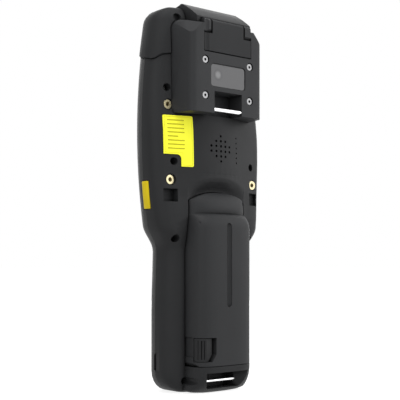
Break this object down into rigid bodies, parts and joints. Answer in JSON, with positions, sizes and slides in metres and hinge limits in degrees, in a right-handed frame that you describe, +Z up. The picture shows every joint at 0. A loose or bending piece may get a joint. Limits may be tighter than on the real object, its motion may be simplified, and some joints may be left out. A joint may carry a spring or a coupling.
{
  "type": "portable barcode data terminal",
  "caption": "Long handheld data terminal with a touch display, keypad, rubber scanner boot, rear camera module with a hinged port lid, and a lift-out battery.",
  "frame": {"origin": "on the flat foot, below the middle of the grip, on the mirror plane", "axes": "+Z up along the terminal's length, +Y out of its back where the battery and the camera module are, +X to the right of someone who looks at the display, which faces -Y"},
  "size_m": [0.081, 0.0426, 0.2142],
  "materials": {
    "housing": "fine matte",
    "front_shell": "fine matte",
    "boot": "soft matte",
    "nose": "fine matte",
    "scan_filter": "dark red filter",
    "module": "fine matte",
    "module_window": "smoked clear",
    "camera": "black",
    "screw_steel": "satin",
    "lid": "soft matte",
    "pin_steel": "ground",
    "bar_chrome": "polished",
    "speaker_frame": "black frame",
    "label": "printed film",
    "accent": "satin yellow",
    "cover": "fine matte",
    "cells": "shrink wrap",
    "latch": "fine matte",
    "contacts": "gold plated",
    "board": "solder mask",
    "display": "dark panel",
    "glass": "black printed border",
    "seal": "matte",
    "keymat": "matte",
    "connector": "black",
    "engine": "black",
    "brass_insert": "turned",
    "antenna": "flex film",
    "motor": "satin",
    "microphone": "satin",
    "keycap": "fine matte",
    "nav": "satin"
  },
  "bodies": {
    "terminal": {"rear_housing": "housing", "front_housing": "front_shell", "top_boot": "boot", "scan_nose": "nose", "scan_window": "scan_filter", "camera_housing": "module", "camera_window": "module_window", "camera_unit": "camera", "module_screws": "screw_steel", "lid_hinge_pin": "pin_steel", "upper_strap_bar": "bar_chrome", "lower_strap_bar": "bar_chrome", "speaker": "speaker_frame", "rear_label": "label", "battery_contacts": "contacts", "main_board": "board", "keypad_board": "board", "display_panel": "display", "touch_glass": "glass", "display_gasket": "seal", "keypad_mat": "keymat", "dock_connector": "connector", "scan_engine": "engine", "housing_seal": "seal", "housing_screws": "screw_steel", "grip_inserts": "brass_insert", "radio_antenna": "antenna", "vibration_motor": "motor", "microphone": "microphone"},
    "lid": {"port_lid": "lid"},
    "battery": {"battery_cover": "cover", "battery_cells": "cells"},
    "latch": {"battery_latch": "latch"},
    "side_button_right": {"side_key_right": "accent"},
    "side_button_left": {"side_key_left": "accent"},
    "scan_button": {"scan_key": "accent"},
    "nav_button": {"nav_ring": "nav"},
    "soft_button_left": {"soft_key_left": "keycap"},
    "soft_button_right": {"soft_key_right": "keycap"},
    "button_0_0": {"key_0_0": "keycap"},
    "button_0_1": {"key_0_1": "keycap"},
    "button_0_2": {"key_0_2": "keycap"},
    "button_0_3": {"key_0_3": "keycap"},
    "button_1_0": {"key_1_0": "keycap"},
    "button_1_1": {"key_1_1": "keycap"},
    "button_1_2": {"key_1_2": "keycap"},
    "button_1_3": {"key_1_3": "keycap"},
    "button_2_0": {"key_2_0": "keycap"},
    "button_2_1": {"key_2_1": "keycap"},
    "button_2_2": {"key_2_2": "keycap"},
    "button_2_3": {"key_2_3": "keycap"},
    "button_3_0": {"key_3_0": "keycap"},
    "button_3_1": {"key_3_1": "keycap"},
    "button_3_2": {"key_3_2": "keycap"},
    "button_3_3": {"key_3_3": "keycap"},
    "button_4_0": {"key_4_0": "keycap"},
    "button_4_1": {"key_4_1": "keycap"},
    "button_4_2": {"key_4_2": "keycap"},
    "button_4_3": {"key_4_3": "keycap"}
  },
  "joints": [
    {"name": "lid_hinge", "type": "hinge", "parent": "terminal", "child": "lid", "pos_m": [0, 0.018, 0.202], "axis": [1, 0, 0], "range_deg": [0, 100]},
    {"name": "battery_lift", "type": "slide", "parent": "terminal", "child": "battery", "axis": [0, 1, 0], "range_m": [0, 0.036]},
    {"name": "latch_slide", "type": "slide", "parent": "battery", "child": "latch", "axis": [-1, 0, 0], "range_m": [0, 0.0018], "stiffness_N_per_m": 600},
    {"name": "side_press_right", "type": "slide", "parent": "terminal", "child": "side_button_right", "axis": [-1, 0, 0], "range_m": [0, 0.0008], "stiffness_N_per_m": 400},
    {"name": "side_press_left", "type": "slide", "parent": "terminal", "child": "side_button_left", "axis": [1, 0, 0], "range_m": [0, 0.0008], "stiffness_N_per_m": 400},
    {"name": "scan_press", "type": "slide", "parent": "terminal", "child": "scan_button", "axis": [0, 1, 0], "range_m": [0, 0.0008], "stiffness_N_per_m": 400},
    {"name": "nav_press", "type": "slide", "parent": "terminal", "child": "nav_button", "axis": [0, 1, 0], "range_m": [0, 0.0008], "stiffness_N_per_m": 400},
    {"name": "soft_press_left", "type": "slide", "parent": "terminal", "child": "soft_button_left", "axis": [0, 1, 0], "range_m": [0, 0.0008], "stiffness_N_per_m": 400},
    {"name": "soft_press_right", "type": "slide", "parent": "terminal", "child": "soft_button_right", "axis": [0, 1, 0], "range_m": [0, 0.0008], "stiffness_N_per_m": 400},
    {"name": "press_0_0", "type": "slide", "parent": "terminal", "child": "button_0_0", "axis": [0, 1, 0], "range_m": [0, 0.0008], "stiffness_N_per_m": 400},
    {"name": "press_0_1", "type": "slide", "parent": "terminal", "child": "button_0_1", "axis": [0, 1, 0], "range_m": [0, 0.0008], "stiffness_N_per_m": 400},
    {"name": "press_0_2", "type": "slide", "parent": "terminal", "child": "button_0_2", "axis": [0, 1, 0], "range_m": [0, 0.0008], "stiffness_N_per_m": 400},
    {"name": "press_0_3", "type": "slide", "parent": "terminal", "child": "button_0_3", "axis": [0, 1, 0], "range_m": [0, 0.0008], "stiffness_N_per_m": 400},
    {"name": "press_1_0", "type": "slide", "parent": "terminal", "child": "button_1_0", "axis": [0, 1, 0], "range_m": [0, 0.0008], "stiffness_N_per_m": 400},
    {"name": "press_1_1", "type": "slide", "parent": "terminal", "child": "button_1_1", "axis": [0, 1, 0], "range_m": [0, 0.0008], "stiffness_N_per_m": 400},
    {"name": "press_1_2", "type": "slide", "parent": "terminal", "child": "button_1_2", "axis": [0, 1, 0], "range_m": [0, 0.0008], "stiffness_N_per_m": 400},
    {"name": "press_1_3", "type": "slide", "parent": "terminal", "child": "button_1_3", "axis": [0, 1, 0], "range_m": [0, 0.0008], "stiffness_N_per_m": 400},
    {"name": "press_2_0", "type": "slide", "parent": "terminal", "child": "button_2_0", "axis": [0, 1, 0], "range_m": [0, 0.0008], "stiffness_N_per_m": 400},
    {"name": "press_2_1", "type": "slide", "parent": "terminal", "child": "button_2_1", "axis": [0, 1, 0], "range_m": [0, 0.0008], "stiffness_N_per_m": 400},
    {"name": "press_2_2", "type": "slide", "parent": "terminal", "child": "button_2_2", "axis": [0, 1, 0], "range_m": [0, 0.0008], "stiffness_N_per_m": 400},
    {"name": "press_2_3", "type": "slide", "parent": "terminal", "child": "button_2_3", "axis": [0, 1, 0], "range_m": [0, 0.0008], "stiffness_N_per_m": 400},
    {"name": "press_3_0", "type": "slide", "parent": "terminal", "child": "button_3_0", "axis": [0, 1, 0], "range_m": [0, 0.0008], "stiffness_N_per_m": 400},
    {"name": "press_3_1", "type": "slide", "parent": "terminal", "child": "button_3_1", "axis": [0, 1, 0], "range_m": [0, 0.0008], "stiffness_N_per_m": 400},
    {"name": "press_3_2", "type": "slide", "parent": "terminal", "child": "button_3_2", "axis": [0, 1, 0], "range_m": [0, 0.0008], "stiffness_N_per_m": 400},
    {"name": "press_3_3", "type": "slide", "parent": "terminal", "child": "button_3_3", "axis": [0, 1, 0], "range_m": [0, 0.0008], "stiffness_N_per_m": 400},
    {"name": "press_4_0", "type": "slide", "parent": "terminal", "child": "button_4_0", "axis": [0, 1, 0], "range_m": [0, 0.0008], "stiffness_N_per_m": 400},
    {"name": "press_4_1", "type": "slide", "parent": "terminal", "child": "button_4_1", "axis": [0, 1, 0], "range_m": [0, 0.0008], "stiffness_N_per_m": 400},
    {"name": "press_4_2", "type": "slide", "parent": "terminal", "child": "button_4_2", "axis": [0, 1, 0], "range_m": [0, 0.0008], "stiffness_N_per_m": 400},
    {"name": "press_4_3", "type": "slide", "parent": "terminal", "child": "button_4_3", "axis": [0, 1, 0], "range_m": [0, 0.0008], "stiffness_N_per_m": 400}
  ]
}
